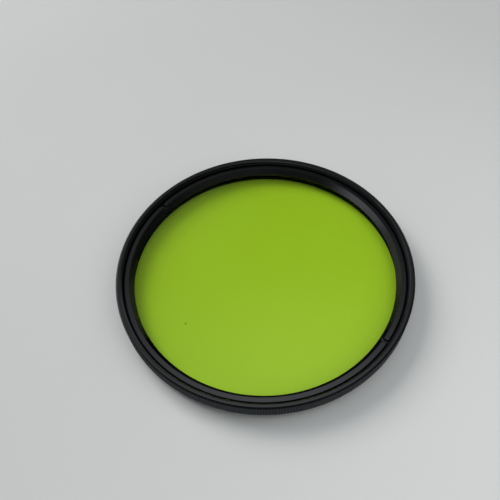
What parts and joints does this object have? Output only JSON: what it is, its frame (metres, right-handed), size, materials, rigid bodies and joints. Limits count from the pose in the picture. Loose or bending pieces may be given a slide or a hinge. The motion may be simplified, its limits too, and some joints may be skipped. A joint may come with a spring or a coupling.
{
  "type": "light balancing filter",
  "caption": "Round screw-in lens filter: coloured glass disc clamped by a slotted ring in a knurled metal mount with front and rear threads.",
  "frame": {"origin": "centre of the rear thread's end face, on which the filter rests", "axes": "+Z along the optical axis towards the front, female-threaded side; the spanner slots lie 41 degrees clockwise from +X as seen from the front"},
  "size_m": [0.0794, 0.0794, 0.007],
  "materials": {
    "mount_anodised": "fine satin black anodising",
    "ring_anodised": "matt black anodising",
    "filter_glass": "polished, coloured through, yellow-green"
  },
  "bodies": {
    "root": {"mount_ring": "mount_anodised", "filter_glass": "filter_glass", "retaining_ring": "ring_anodised"}
  },
  "joints": []
}
